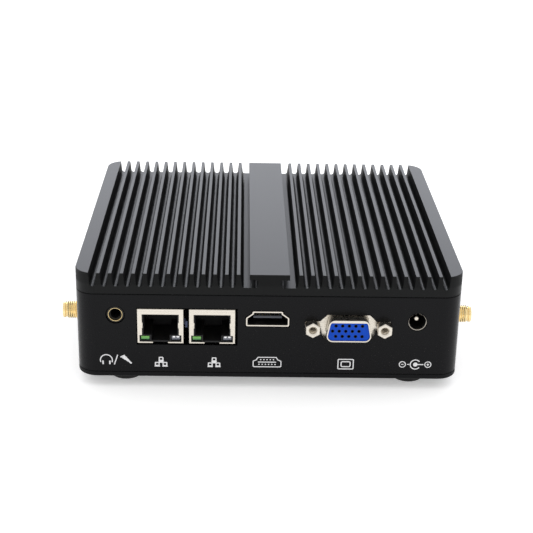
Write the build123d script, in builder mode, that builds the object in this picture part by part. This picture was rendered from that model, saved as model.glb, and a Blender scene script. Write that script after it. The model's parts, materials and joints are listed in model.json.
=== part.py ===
from build123d import *

import os
from math import radians, tan

# A fanless mini pc, in millimetres. +Z is up, -Y is the connector panel and +Y is the panel with
# the power button. The origin is on the desk, under the middle of the whole object's box.

# ---------------------------------------------------------------- driving dimensions
CASE_WIDTH = 134.8
CASE_DEPTH = 127.0
CORNER_RADIUS = 7.0
WALL = 2.0

PLATE_BOTTOM = 4.0
PLATE_TOP = 5.9
LID_SEAM = 35.6
GROOVE_FLOOR = 38.6
LID_TOP = 43.4

FINS_PER_SIDE = 13
FIN_PITCH = 4.0127
FIRST_FIN = 10.8
GROOVE_TOP_WIDTH = 2.9
GROOVE_FLOOR_WIDTH = 1.9
GROOVE_FLOOR_ROUND = 0.9
SEAM_CHAMFER = 0.25
RAIL_FLANGE_WIDTH = 13.76
RAIL_WEB_WIDTH = 8.2
RAIL_FLANGE_THICKNESS = 1.9

VIDEO_SHELL_OUT = 3.9
JACK_SCREW_OUT = 3.8
BEZEL_OUT = 1.6
BUTTON_OUT = 0.8

# The box runs from the analogue video shell's rim to the power button's face.
MID_Y = (VIDEO_SHELL_OUT - BEZEL_OUT - BUTTON_OUT) / 2
FRONT = MID_Y - CASE_DEPTH / 2
BACK = MID_Y + CASE_DEPTH / 2
SIDE = CASE_WIDTH / 2
INNER_FRONT = FRONT + WALL
INNER_BACK = BACK - WALL
INNER_SIDE = SIDE - WALL

# The motherboard hangs from the lid, so that every socket is on its underside.
BOARD_UNDER = 30.3
BOARD_OVER = 31.9
LEDGE_UNDER = 32.6
PAD_UNDER = 33.7
PAD_OVER = 34.3
PORT_GAP = 0.3
SOCKET_DEPTH = 14.0
BOARD_HALF_WIDTH = 59.0
BOARD_FRONT = FRONT + 3.0
BOARD_BACK = BACK - 3.4

SCREW_RADIUS = 1.45
SCREW_HOLE = 1.5
HEAD_RADIUS = 2.75
HEAD_HEIGHT = 2.0

PILLAR_RADIUS = 4.0
PILLARS = [(x, MID_Y + y) for x in (-61.8, 61.8) for y in (-57.9, 57.9)]
LEDGES = [(x, MID_Y + y) for x in (-60.5, 60.5) for y in (-22.0, 22.0)]
SPACERS = [(x, MID_Y + y) for x in (-50.0, 50.0) for y in (-38.0, 36.0)]
FOOT_RADIUS = 6.5
FEET = [(x, MID_Y + y) for x in (-50.8, 50.8) for y in (-52.6, 52.6)]

AUDIO = (-53.4, 27.9)
AUDIO_HOLE_RADIUS = 3.35
LAN = {"left": -37.8, "right": -19.8}
LAN_WIDTH = 16.0
LAN_BOTTOM = 17.3
DIGITAL_VIDEO_X = -0.5
VIDEO = (27.7, 24.2)
DC_INLET = (51.8, 26.3)
DC_HOLE_RADIUS = 3.4
JACK_SCREW_GAP = 24.99
ANTENNA_Y = MID_Y - 40.0
ANTENNA_Z = 19.2
ANTENNA_TIP = SIDE + 7.2
THREAD_RADIUS = 3.175
BARREL_NECK_RADIUS = 3.0
NUT_THICKNESS = 2.0
USB = {"left": -24.0, "right": -2.0}
USB_WIDTH = 14.0
USB_HEIGHT = 15.6
USB_MOUTH = (12.5, 5.1)
USB_LEVELS = [BOARD_UNDER - 3.9, BOARD_UNDER - 11.7]
POWER_SWITCH = (44.0, 21.5)
LIGHTS = [(25.0, 21.5), (30.0, 21.5)]

CPU_Y = MID_Y + 6.0
MEMORY_Y = MID_Y + 38.0
CARD_Y = MID_Y - 19.0
DRIVE_X = -54.0
WIRELESS_X = 54.0
CARD_TOP = 26.6
CARD_THICKNESS = 1.0


# ---------------------------------------------------------------- helpers
def middle(span):
    return (span[0] + span[1]) / 2


def length(span):
    return span[1] - span[0]


def at_y(y):
    """A plane across Y that faces the connector panel, with X and Z as its own x and y."""
    return Plane.XZ.offset(-y)


def block(x, y, z, mode=Mode.ADD):
    """A box in the part being built, from its spans along X, Y and Z."""
    with BuildSketch(Plane.XY.offset(z[0])) as outline:
        with Locations((middle(x), middle(y))):
            Rectangle(length(x), length(y))
    extrude(outline.sketch, amount=length(z), mode=mode)


def bar_x(y, z, radius, x, mode=Mode.ADD):
    """A round bar along X."""
    with BuildSketch(Plane.YZ.offset(x[0])) as disc:
        with Locations((y, z)):
            Circle(radius)
    extrude(disc.sketch, amount=length(x), mode=mode)


def bar_y(x, z, radius, y, mode=Mode.ADD):
    """A round bar along Y."""
    with BuildSketch(at_y(y[1])) as disc:
        with Locations((x, z)):
            Circle(radius)
    extrude(disc.sketch, amount=length(y), mode=mode)


def bar_z(places, radius, z, mode=Mode.ADD):
    """Round bars along Z, one at each place."""
    with BuildSketch(Plane.XY.offset(z[0])) as discs:
        with Locations(*places):
            Circle(radius)
    extrude(discs.sketch, amount=length(z), mode=mode)


def prism_y(points, y, radius=0, mode=Mode.ADD):
    """A prism along Y from an outline in X and Z, with its corners rounded."""
    with BuildSketch(at_y(y[1])) as outline:
        Polygon(*points, align=None)
        if radius:
            fillet(outline.vertices(), radius)
    extrude(outline.sketch, amount=length(y), mode=mode)


def mirrored(points, centre=0):
    """A closed outline that is the same left and right, from its right-hand points."""
    right = [(centre + x, z) for x, z in points]
    left = [(centre - x, z) for x, z in reversed(points)]
    return right + left


def lead_path(points):
    """A lead's line: straight runs joined by arcs as large as the two runs allow."""
    bends = []
    for before, corner, after in zip(points, points[1:], points[2:]):
        arriving = Vector(*corner) - Vector(*before)
        leaving = Vector(*after) - Vector(*corner)
        turn = arriving.get_angle(leaving)
        shorter = min(arriving.length, leaving.length)
        bends.append(0.45 * shorter / tan(radians(turn) / 2))
    print("lead bend radii", [round(bend, 1) for bend in bends])
    return FilletPolyline(*points, radius=bends)


def finish(part, name):
    part.label = name
    export_step(part, f"parts/{name}.step")


os.makedirs("parts", exist_ok=True)

# ---------------------------------------------------------------- case
# The lid is one aluminium extrusion: tapered grooves leave thirteen fins each side of a T-rail.
with BuildPart() as heatsink_lid:
    with BuildSketch(Plane.XY.offset(LID_SEAM)):
        with Locations((0, MID_Y)):
            RectangleRounded(CASE_WIDTH, CASE_DEPTH, CORNER_RADIUS)
    extrude(amount=LID_TOP - LID_SEAM)
    chamfer(heatsink_lid.faces().sort_by(Axis.Z)[-1].edges(), 0.2)
    chamfer(heatsink_lid.faces().sort_by(Axis.Z)[0].edges(), SEAM_CHAMFER)
    with BuildSketch(at_y(BACK + 1)) as grooves:
        for side in (-1, 1):
            for fin in range(FINS_PER_SIDE):
                centre = side * (FIRST_FIN + FIN_PITCH * (fin + 0.5))
                floor_corner = (GROOVE_FLOOR_WIDTH / 2, GROOVE_FLOOR)
                groove = [floor_corner, (GROOVE_TOP_WIDTH / 2, LID_TOP + 0.1)]
                Polygon(*mirrored(groove, centre), align=None)
            first_groove = [
                (side * RAIL_WEB_WIDTH / 2, GROOVE_FLOOR),
                (side * (FIRST_FIN - 1.3), GROOVE_FLOOR),
                (side * (FIRST_FIN - 0.6), LID_TOP + 0.1),
                (side * RAIL_FLANGE_WIDTH / 2, LID_TOP + 0.1),
                (side * RAIL_FLANGE_WIDTH / 2, LID_TOP - RAIL_FLANGE_THICKNESS),
                (side * RAIL_WEB_WIDTH / 2, LID_TOP - RAIL_FLANGE_THICKNESS),
            ]
            Polygon(*first_groove, align=None)
        fillet(grooves.vertices().group_by(Axis.Y)[0], GROOVE_FLOOR_ROUND)
    extrude(amount=CASE_DEPTH + 2, mode=Mode.SUBTRACT)
    # The boss under the lid meets the processor, and blind holes take the screws from below.
    block((-17, 17), (CPU_Y - 17, CPU_Y + 17), (PAD_OVER, LID_SEAM))
    bar_z(SPACERS + LEDGES, SCREW_HOLE, (LID_SEAM, LID_SEAM + 2.4), Mode.SUBTRACT)
finish(heatsink_lid.part, "heatsink_lid")

video_x, video_z = VIDEO
video_opening = [
    (7.4, video_z + 4.5),
    (9.8, video_z + 2.1),
    (15.1, video_z + 2.1),
    (15.1, video_z - 2.1),
    (9.4, video_z - 2.1),
    (8.7, video_z - 4.6),
]
digital_outline = [(5.3, 29.75), (5.3, 28.9), (7.5, 27.3), (7.5, 24.15)]
digital_opening = [(5.6, 30.05), (5.6, 29.1), (7.8, 27.5), (7.8, 23.85)]

# The frame is the wall ring, with a pillar in each corner and four ledges for the lid screws.
with BuildPart() as case_frame:
    with BuildSketch(Plane.XY.offset(PLATE_TOP)):
        with Locations((0, MID_Y)):
            RectangleRounded(CASE_WIDTH, CASE_DEPTH, CORNER_RADIUS)
            RectangleRounded(
                CASE_WIDTH - 2 * WALL, CASE_DEPTH - 2 * WALL, CORNER_RADIUS - WALL, mode=Mode.SUBTRACT
            )
    extrude(amount=LID_SEAM - PLATE_TOP)
    for face in (case_frame.faces().sort_by(Axis.Z)[0], case_frame.faces().sort_by(Axis.Z)[-1]):
        chamfer(face.outer_wire().edges(), SEAM_CHAMFER)
    bar_z(PILLARS, PILLAR_RADIUS, (PLATE_TOP, LID_SEAM))
    for x, y in LEDGES:
        inner = 56.8 if x > 0 else -56.8
        wall_x = INNER_SIDE + 0.5 if x > 0 else -INNER_SIDE - 0.5
        block(sorted((inner, wall_x)), (y - 5, y + 5), (LEDGE_UNDER, LID_SEAM))
    bar_z(PILLARS, SCREW_HOLE, (PLATE_TOP, PLATE_TOP + 12), Mode.SUBTRACT)
    bar_z(LEDGES, SCREW_HOLE, (LEDGE_UNDER, LID_SEAM), Mode.SUBTRACT)
    through_front = (FRONT - 1, INNER_FRONT + 0.2)
    through_back = (INNER_BACK - 0.2, BACK + 1)
    bar_y(*AUDIO, AUDIO_HOLE_RADIUS, through_front, Mode.SUBTRACT)
    bar_y(*DC_INLET, DC_HOLE_RADIUS, through_front, Mode.SUBTRACT)
    lan_span = (LAN["left"] - LAN_WIDTH / 2 - 0.3, LAN["right"] + LAN_WIDTH / 2 + 0.9)
    block(lan_span, through_front, (LAN_BOTTOM - 0.7, BOARD_UNDER + 0.3), Mode.SUBTRACT)
    prism_y(mirrored(digital_opening, DIGITAL_VIDEO_X), through_front, 0.4, Mode.SUBTRACT)
    prism_y(mirrored(video_opening, video_x), through_front, 0.6, Mode.SUBTRACT)
    for stack_x in USB.values():
        half = USB_WIDTH / 2 + PORT_GAP
        usb_span = (BOARD_UNDER - USB_HEIGHT - PORT_GAP, BOARD_UNDER + PORT_GAP)
        block((stack_x - half, stack_x + half), through_back, usb_span, Mode.SUBTRACT)
    bar_y(*POWER_SWITCH, 6.1, through_back, Mode.SUBTRACT)
    for light in LIGHTS:
        bar_y(*light, 1.1, through_back, Mode.SUBTRACT)
    for through_side in ((-SIDE - 1, -INNER_SIDE + 0.2), (INNER_SIDE - 0.2, SIDE + 1)):
        bar_x(ANTENNA_Y, ANTENNA_Z, THREAD_RADIUS + 0.075, through_side, Mode.SUBTRACT)
finish(case_frame.part, "case_frame")

# The bottom plate has air slots, four threaded holes on a 75 mm square and sunk screw holes.
with BuildPart() as bottom_plate:
    with BuildSketch(Plane.XY.offset(PLATE_BOTTOM)):
        with Locations((0, MID_Y)):
            RectangleRounded(CASE_WIDTH, CASE_DEPTH, CORNER_RADIUS)
            with GridLocations(0, 6.5, 1, 9):
                with Locations((-15, 0), (15, 0)):
                    SlotOverall(24, 3, mode=Mode.SUBTRACT)
            with GridLocations(75, 75, 2, 2):
                Circle(2.0, mode=Mode.SUBTRACT)
    extrude(amount=PLATE_TOP - PLATE_BOTTOM)
    rim = bottom_plate.faces().sort_by(Axis.Z)[0].outer_wire().edges()
    fillet(rim, 0.8)
    with Locations(*[Location((x, y, PLATE_BOTTOM), (180, 0, 0)) for x, y in PILLARS]):
        CounterSinkHole(1.55, 3.0, depth=PLATE_TOP - PLATE_BOTTOM, counter_sink_angle=90)
finish(bottom_plate.part, "bottom_plate")

with BuildPart() as rubber_feet:
    for x, y in FEET:
        with BuildSketch(Plane.XZ.offset(-y)) as half_foot:
            with BuildLine():
                Line((x, 0), (x + 4.8, 0))
                ThreePointArc((x + 4.8, 0), (x + 6.1, 1.0), (x + FOOT_RADIUS, 2.6))
                Line((x + FOOT_RADIUS, 2.6), (x + FOOT_RADIUS, PLATE_BOTTOM))
                Line((x + FOOT_RADIUS, PLATE_BOTTOM), (x, PLATE_BOTTOM))
                Line((x, PLATE_BOTTOM), (x, 0))
            make_face()
        revolve(half_foot.sketch, axis=Axis((x, y, 0), (0, 0, 1)))
finish(rubber_feet.part, "rubber_feet")

# Each flat-headed screw is sunk in the plate and reaches 8 mm into its pillar.
with BuildPart() as bottom_screws:
    for x, y in PILLARS:
        with BuildSketch(Plane.XZ.offset(-y)) as half_screw:
            with BuildLine():
                Polyline(
                    (x, PLATE_BOTTOM + 0.1),
                    (x + 2.8, PLATE_BOTTOM + 0.1),
                    (x + SCREW_RADIUS, PLATE_BOTTOM + 1.5),
                    (x + SCREW_RADIUS, PLATE_TOP + 8),
                    (x, PLATE_TOP + 8),
                    close=True,
                )
            make_face()
        revolve(half_screw.sketch, axis=Axis((x, y, 0), (0, 0, 1)))
    with BuildSketch(Plane.XY.offset(PLATE_BOTTOM + 0.1)) as crosses:
        with Locations(*PILLARS):
            Rectangle(2.6, 0.6)
            Rectangle(0.6, 2.6)
    extrude(crosses.sketch, amount=0.9, mode=Mode.SUBTRACT)
finish(bottom_screws.part, "bottom_screws")


def pan_screws(places, head_top, tip):
    """Pan-headed screws that point up, with a cross in each head."""
    with BuildPart() as screws:
        bar_z(places, SCREW_RADIUS, (head_top, tip))
        bar_z(places, HEAD_RADIUS, (head_top - HEAD_HEIGHT, head_top))
        chamfer(screws.edges().group_by(Axis.Z)[0], 0.5)
        with BuildSketch(Plane.XY.offset(head_top - HEAD_HEIGHT)) as crosses:
            with Locations(*places):
                Rectangle(2.6, 0.6)
                Rectangle(0.6, 2.6)
        extrude(crosses.sketch, amount=1.1, mode=Mode.SUBTRACT)
    return screws.part


finish(pan_screws(LEDGES, LEDGE_UNDER, LID_SEAM + 2.0), "lid_screws")

# ---------------------------------------------------------------- motherboard
finish(pan_screws(SPACERS, BOARD_UNDER, LID_SEAM + 2.0), "board_screws")

with BuildPart() as board_spacers:
    with BuildSketch(Plane.XY.offset(BOARD_OVER)):
        with Locations(*SPACERS):
            RegularPolygon(2.75, 6, major_radius=False)
            Circle(SCREW_HOLE, mode=Mode.SUBTRACT)
    extrude(amount=LID_SEAM - BOARD_OVER)
finish(board_spacers.part, "board_spacers")

with BuildPart() as motherboard:
    board_span = (BOARD_FRONT, BOARD_BACK)
    block((-BOARD_HALF_WIDTH, BOARD_HALF_WIDTH), board_span, (BOARD_UNDER, BOARD_OVER))
    # The corners and the sides are notched round the frame's pillars and ledges.
    for x, y in PILLARS:
        block((x - 6, x + 6), (y - 6, y + 6), (BOARD_UNDER, BOARD_OVER), Mode.SUBTRACT)
    for x, y in LEDGES:
        block((x - 6, x + 6), (y - 7, y + 7), (BOARD_UNDER, BOARD_OVER), Mode.SUBTRACT)
    bar_z(SPACERS, SCREW_HOLE, (BOARD_UNDER, BOARD_OVER), Mode.SUBTRACT)
finish(motherboard.part, "motherboard")

with BuildPart() as cpu_package:
    block((-13.5, 13.5), (CPU_Y - 12.5, CPU_Y + 12.5), (BOARD_OVER, BOARD_OVER + 1.1))
    block((-6, 6), (CPU_Y - 4.5, CPU_Y + 4.5), (BOARD_OVER + 1.1, PAD_UNDER))
finish(cpu_package.part, "cpu_package")

with BuildPart() as thermal_pad:
    block((-11, 11), (CPU_Y - 10, CPU_Y + 10), (PAD_UNDER, PAD_OVER))
finish(thermal_pad.part, "thermal_pad")

with BuildPart() as ethernet_controllers:
    for x in LAN.values():
        block((x - 3.5, x + 3.5), (FRONT + 29, FRONT + 36), (BOARD_OVER, BOARD_OVER + 0.9))
finish(ethernet_controllers.part, "ethernet_controllers")

with BuildPart() as power_inductors:
    for column in range(3):
        x = 24 + 9 * column
        for y in (CPU_Y - 9, CPU_Y + 2):
            block((x - 3.5, x + 3.5), (y - 3.5, y + 3.5), (BOARD_OVER, BOARD_OVER + 3.0))
    fillet(power_inductors.edges().filter_by(Axis.Z), 1.2)
finish(power_inductors.part, "power_inductors")

with BuildPart() as capacitors:
    columns = [-22 - 8 * column for column in range(3)]
    capacitor_places = [(x, CPU_Y + 7 * row) for x in columns for row in (-1, 0, 1)]
    bar_z(capacitor_places, 2.1, (BOARD_OVER, BOARD_OVER + 3.0))
    chamfer(capacitors.edges().group_by(Axis.Z)[-1], 0.3)
finish(capacitors.part, "capacitors")

# The memory module lies flat under the board, in a slot that faces the connector panel.
MODULE_HALF = 33.8
MODULE_TOP = 28.3
with BuildPart() as memory_socket:
    block((-34.1, 34.1), (MEMORY_Y - 3, MEMORY_Y + 4), (26.3, BOARD_UNDER))
    slot = (MODULE_TOP - 1.05, MODULE_TOP + 0.05)
    block((-MODULE_HALF - 0.1, MODULE_HALF + 0.1), (MEMORY_Y - 3, MEMORY_Y), slot, Mode.SUBTRACT)
finish(memory_socket.part, "memory_socket")

with BuildPart() as memory_module:
    module_y = (MEMORY_Y - 30, MEMORY_Y)
    block((-MODULE_HALF, MODULE_HALF), module_y, (MODULE_TOP - 1, MODULE_TOP))
    for x in (-MODULE_HALF, MODULE_HALF):
        bar_z([(x, MEMORY_Y - 24)], 1.0, (MODULE_TOP - 1, MODULE_TOP), Mode.SUBTRACT)
finish(memory_module.part, "memory_module")

with BuildPart() as memory_chips:
    for x in (-25.5, -8.5, 8.5, 25.5):
        chip_x = (x - 4.5, x + 4.5)
        chip_y = (MEMORY_Y - 22, MEMORY_Y - 11)
        block(chip_x, chip_y, (MODULE_TOP - 2.1, MODULE_TOP - 1))
        block(chip_x, chip_y, (MODULE_TOP, MODULE_TOP + 1.1))
finish(memory_chips.part, "memory_chips")

# Each latch is a spring arm beside the module, with a lip under the module's edge.
for name, side in (("left", -1), ("right", 1)):
    with BuildPart() as memory_latch:
        arm = sorted((side * 34.4, side * 34.9))
        block(arm, (MEMORY_Y - 26, MEMORY_Y + 1), (26.6, 29.6))
        lip = sorted((side * 33.2, side * 34.9))
        block(lip, (MEMORY_Y - 26, MEMORY_Y - 22.8), (26.6, MODULE_TOP - 1.1))
        chamfer(memory_latch.edges().filter_by(Axis.Y).group_by(Axis.Z)[-1], 0.2)
    finish(memory_latch.part, f"memory_latch_{name}")


# The drive card and the wireless card lie flat under the board, each in a socket at one side.
def card_socket(x, side):
    """A card socket whose slot faces the middle of the board."""
    with BuildPart() as socket:
        body = sorted((x - side * 3.5, x + side * 3))
        block(body, (CARD_Y - 15.5, CARD_Y + 15.5), (24.6, BOARD_UNDER))
        slot_x = sorted((x - side * 3.5, x))
        slot_z = (CARD_TOP - CARD_THICKNESS - 0.05, CARD_TOP + 0.05)
        block(slot_x, (CARD_Y - 15.1, CARD_Y + 15.1), slot_z, Mode.SUBTRACT)
    return socket.part


def card(x, side, card_length):
    """A plug-in card, with half a screw hole in each far corner."""
    far = x - side * card_length
    with BuildPart() as board:
        card_z = (CARD_TOP - CARD_THICKNESS, CARD_TOP)
        block(sorted((x, far)), (CARD_Y - 15, CARD_Y + 15), card_z)
        holes = [(far + side * 2.5, CARD_Y + y) for y in (-12.1, 12.1)]
        bar_z(holes, 1.3, card_z, Mode.SUBTRACT)
    return board.part


finish(card_socket(DRIVE_X, -1), "drive_socket")
finish(card(DRIVE_X, -1, 50.9), "drive_card")
finish(card_socket(WIRELESS_X, 1), "wireless_socket")
finish(card(WIRELESS_X, 1, 26.8), "wireless_card")

card_holes = [(DRIVE_X + 50.9 - 2.5, CARD_Y + y) for y in (-12.1, 12.1)]
card_holes += [(WIRELESS_X - 26.8 + 2.5, CARD_Y + y) for y in (-12.1, 12.1)]
with BuildPart() as card_posts:
    bar_z(card_holes, 2.2, (CARD_TOP, BOARD_UNDER))
    bar_z(card_holes, 1.05, (CARD_TOP, BOARD_UNDER), Mode.SUBTRACT)
finish(card_posts.part, "card_posts")

with BuildPart() as card_screws:
    bar_z(card_holes, 1.0, (CARD_TOP - CARD_THICKNESS, CARD_TOP + 2.6))
    head_z = (CARD_TOP - CARD_THICKNESS - 1.2, CARD_TOP - CARD_THICKNESS)
    bar_z(card_holes, 2.0, head_z)
finish(card_screws.part, "card_screws")

with BuildPart() as drive_chips:
    for x in (-38, -22):
        chip_z = (CARD_TOP - CARD_THICKNESS - 1.2, CARD_TOP - CARD_THICKNESS)
        block((x - 6, x + 6), (CARD_Y - 9, CARD_Y + 9), chip_z)
    block((-12, -5), (CARD_Y - 5, CARD_Y + 5), chip_z)
finish(drive_chips.part, "drive_chips")

with BuildPart() as wireless_shield:
    can_z = (CARD_TOP - CARD_THICKNESS - 1.6, CARD_TOP - CARD_THICKNESS)
    block((34, 49), (CARD_Y - 9, CARD_Y + 9), can_z)
    block((34.2, 48.8), (CARD_Y - 8.8, CARD_Y + 8.8), (can_z[0] + 0.2, can_z[1]), Mode.SUBTRACT)
finish(wireless_shield.part, "wireless_shield")

COIN = (12.0, MID_Y - 18.0)
with BuildPart() as coin_cell_holder:
    with BuildSketch(Plane.XY.offset(25.9)):
        with Locations(COIN):
            Circle(11.3)
            Circle(10.2, mode=Mode.SUBTRACT)
    extrude(amount=BOARD_UNDER - 25.9)
    bar_z([COIN], 10.5, (29.4, BOARD_UNDER))
finish(coin_cell_holder.part, "coin_cell_holder")

with BuildPart() as coin_cell:
    bar_z([COIN], 10.0, (26.2, 29.4))
    chamfer(coin_cell.edges().group_by(Axis.Z)[0], 0.4)
finish(coin_cell.part, "coin_cell")

# ---------------------------------------------------------------- connector panel
audio_x = AUDIO[0]
with BuildPart() as audio_jack_body:
    block((audio_x - 3.05, audio_x + 3.05), (INNER_FRONT + 0.2, FRONT + SOCKET_DEPTH), (25.0, BOARD_UNDER))
    bar_y(*AUDIO, 3.0, (FRONT + 0.4, FRONT + 2.9))
    bar_y(*AUDIO, 2.5, (FRONT + 0.4, FRONT + 1.2), Mode.SUBTRACT)
    bar_y(*AUDIO, 1.8, (FRONT, FRONT + 13), Mode.SUBTRACT)
finish(audio_jack_body.part, "audio_jack_body")

with BuildPart() as audio_jack_ring:
    bar_y(*AUDIO, 2.5, (FRONT + 0.2, FRONT + 1.2))
    bar_y(*AUDIO, 1.8, (FRONT + 0.2, FRONT + 1.2), Mode.SUBTRACT)
finish(audio_jack_ring.part, "audio_jack_ring")

LAN_FACE = FRONT - 0.2
LAN_DEPTH = 21.0
LATCH_GAP_DEPTH = 4.0
LAN_POCKET_TOP = 20.3
LAN_POCKET_BOTTOM = LAN_BOTTOM + 0.5
PLUG_HALF = 5.95
for name, x in LAN.items():
    half = LAN_WIDTH / 2
    with BuildPart() as lan_shield:
        block((x - half, x + half), (LAN_FACE, LAN_FACE + LAN_DEPTH), (LAN_BOTTOM, BOARD_UNDER))
        inside = (x - half + 0.3, x + half - 0.3)
        behind_face = (LAN_FACE + 0.4, LAN_FACE + LAN_DEPTH - 0.3)
        block(inside, behind_face, (LAN_BOTTOM + 0.3, BOARD_UNDER - 0.3), Mode.SUBTRACT)
        face = (LAN_FACE - 1, LAN_FACE + 0.4)
        block((x - 6.4, x + 6.4), face, (LAN_POCKET_TOP, BOARD_UNDER - 2.1), Mode.SUBTRACT)
        block((x - 7.3, x + 7.3), face, (LAN_POCKET_BOTTOM, LAN_POCKET_TOP), Mode.SUBTRACT)
        latch = (LAN_FACE - 1, LAN_FACE + LATCH_GAP_DEPTH)
        block((x - 2.6, x + 2.6), latch, (LAN_BOTTOM - 1, LAN_BOTTOM + 0.4), Mode.SUBTRACT)
        block((x - 2.6, x + 2.6), face, (LAN_BOTTOM, LAN_POCKET_TOP), Mode.SUBTRACT)
        # A spring tab on the right side earths the shield to its neighbour or to the panel.
        block((x + half, x + half + 0.8), (FRONT + 3.5, FRONT + 8), (23.0, 25.6))
    finish(lan_shield.part, f"lan_shield_{name}")

    with BuildPart() as lan_insert:
        insert_y = (LAN_FACE + 0.4, LAN_FACE + 19)
        block((x - 7.6, x + 7.6), insert_y, (LAN_BOTTOM + 0.35, BOARD_UNDER - 0.35))
        plug_y = (LAN_FACE, LAN_FACE + 13.5)
        block((x - PLUG_HALF, x + PLUG_HALF), plug_y, (LAN_POCKET_TOP, 27.9), Mode.SUBTRACT)
        block((x - 3.2, x + 3.2), plug_y, (LAN_BOTTOM + 0.9, LAN_POCKET_TOP), Mode.SUBTRACT)
        for side in (-1, 1):
            lamp_x = sorted((x + side * 3.7, x + side * 7.0))
            block(lamp_x, (LAN_FACE, LAN_FACE + 4), (18.1, 19.9), Mode.SUBTRACT)
    finish(lan_insert.part, f"lan_insert_{name}")


def lan_lenses(side):
    """One light lens in the lower corner of each network socket."""
    with BuildPart() as lenses:
        for x in LAN.values():
            lamp_x = sorted((x + side * 3.9, x + side * 6.8))
            block(lamp_x, (LAN_FACE + 0.6, LAN_FACE + 4), (18.2, 19.8))
        fillet(lenses.edges().filter_by(Axis.X).group_by(Axis.Y)[0], 0.5)
    return lenses.part


finish(lan_lenses(-1), "lan_green_lenses")
finish(lan_lenses(1), "lan_clear_lenses")

# Eight gold spring wires slope down from the roof of each socket.
with BuildPart() as lan_contacts:
    for x in LAN.values():
        for wire in range(8):
            wire_x = x + 1.02 * (wire - 3.5)
            with BuildSketch(Plane.YZ.offset(wire_x - 0.2)) as wire_side:
                start = LAN_FACE + 3.5
                roof_end = [(start, 27.85), (start + 0.5, 27.85)]
                free_end = [(start + 6.5, 25.5), (start + 6, 25.4)]
                Polygon(*roof_end, *free_end, align=None)
            extrude(wire_side.sketch, amount=0.4)
finish(lan_contacts.part, "lan_contacts")

# The digital video socket is upside down, because it hangs under the board.
with BuildPart() as digital_video_shell:
    shell_y = (FRONT - 0.1, FRONT + 12)
    prism_y(mirrored(digital_outline, DIGITAL_VIDEO_X), shell_y, 0.5)
    inner_outline = [(4.85, 29.3), (4.85, 28.7), (7.05, 27.1), (7.05, 24.6)]
    cavity_y = (FRONT - 1, FRONT + 11.5)
    prism_y(mirrored(inner_outline, DIGITAL_VIDEO_X), cavity_y, 0.3, Mode.SUBTRACT)
    for side in (-1, 1):
        leg_x = sorted((DIGITAL_VIDEO_X + side * 4.0, DIGITAL_VIDEO_X + side * 5.2))
        block(leg_x, (FRONT + 4, FRONT + 10), (29.4, BOARD_UNDER))
finish(digital_video_shell.part, "digital_video_shell")

with BuildPart() as digital_video_tongue:
    tongue_x = (DIGITAL_VIDEO_X - 5.0, DIGITAL_VIDEO_X + 5.0)
    block(tongue_x, (FRONT + 1.2, FRONT + 9), (26.6, 27.6))
    block((DIGITAL_VIDEO_X - 4.6, DIGITAL_VIDEO_X + 4.6), (FRONT + 9, FRONT + 11.5), (24.7, 29.2))
    chamfer(digital_video_tongue.edges().filter_by(Axis.X).group_by(Axis.Y)[0], 0.25)
finish(digital_video_tongue.part, "digital_video_tongue")

# The analogue video socket's flange lies behind the panel, and its D-shell reaches through it.
FLANGE = (INNER_FRONT, INNER_FRONT + 0.8)
SHELL_FRONT = FRONT - VIDEO_SHELL_OUT


def d_outline(shrink):
    """The D shape of the socket, wide side down, made smaller all round by a given amount."""
    top, bottom = video_z + 4.1 - shrink, video_z - 4.1 + shrink
    return mirrored([(6.75 - shrink, top), (8.17 - shrink, bottom)], video_x)


with BuildPart() as video_shell:
    block((video_x - 15.4, video_x + 15.4), FLANGE, (18.2, BOARD_UNDER))
    fillet(video_shell.edges().filter_by(Axis.Y), 1.0)
    prism_y(d_outline(0), (SHELL_FRONT, FLANGE[1]), 2.2)
    prism_y(d_outline(0.5), (SHELL_FRONT - 1, FLANGE[1] + 1), 1.7, Mode.SUBTRACT)
    for side in (-1, 1):
        screw_x = video_x + side * JACK_SCREW_GAP / 2
        bar_y(screw_x, video_z, SCREW_HOLE, (FLANGE[0] - 1, FLANGE[1] + 1), Mode.SUBTRACT)
finish(video_shell.part, "video_shell")

with BuildPart() as video_insulator:
    prism_y(d_outline(0.55), (SHELL_FRONT + 0.4, FLANGE[1]), 1.65)
    block((video_x - 9, video_x + 9), (FLANGE[1], FLANGE[1] + 8), (18.6, BOARD_UNDER))
    for row, shift in ((-1, 0), (0, -1.145), (1, 0)):
        for column in range(-2, 3):
            hole_x = video_x + shift + 2.29 * column
            hole_y = (SHELL_FRONT, SHELL_FRONT + 5)
            bar_y(hole_x, video_z + 1.98 * row, 0.5, hole_y, Mode.SUBTRACT)
finish(video_insulator.part, "video_insulator")

with BuildPart() as video_jack_screws:
    for side in (-1, 1):
        screw_x = video_x + side * JACK_SCREW_GAP / 2
        bar_y(screw_x, video_z, 1.42, (FRONT - 0.5, FLANGE[1] + 4))
        with BuildSketch(at_y(FRONT)) as hexagon:
            with Locations((screw_x, video_z)):
                RegularPolygon(2.5, 6, major_radius=False, rotation=90)
        extrude(hexagon.sketch, amount=JACK_SCREW_OUT)
    chamfer(video_jack_screws.faces().group_by(Axis.Y)[0].edges(), 0.35)
    for side in (-1, 1):
        screw_x = video_x + side * JACK_SCREW_GAP / 2
        bar_y(screw_x, video_z, 1.2, (FRONT - 5, FRONT + 1.5), Mode.SUBTRACT)
    bore_mouths = video_jack_screws.edges().filter_by(GeomType.CIRCLE).group_by(Axis.Y)[0]
    chamfer(bore_mouths, 0.5)
finish(video_jack_screws.part, "video_jack_screws")

dc_x = DC_INLET[0]
with BuildPart() as dc_inlet_body:
    block((dc_x - 4.4, dc_x + 4.4), (INNER_FRONT + 0.2, FRONT + SOCKET_DEPTH), (21.8, BOARD_UNDER))
    bar_y(*DC_INLET, 3.15, (FRONT, FRONT + 11.5), Mode.SUBTRACT)
finish(dc_inlet_body.part, "dc_inlet_body")

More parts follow.
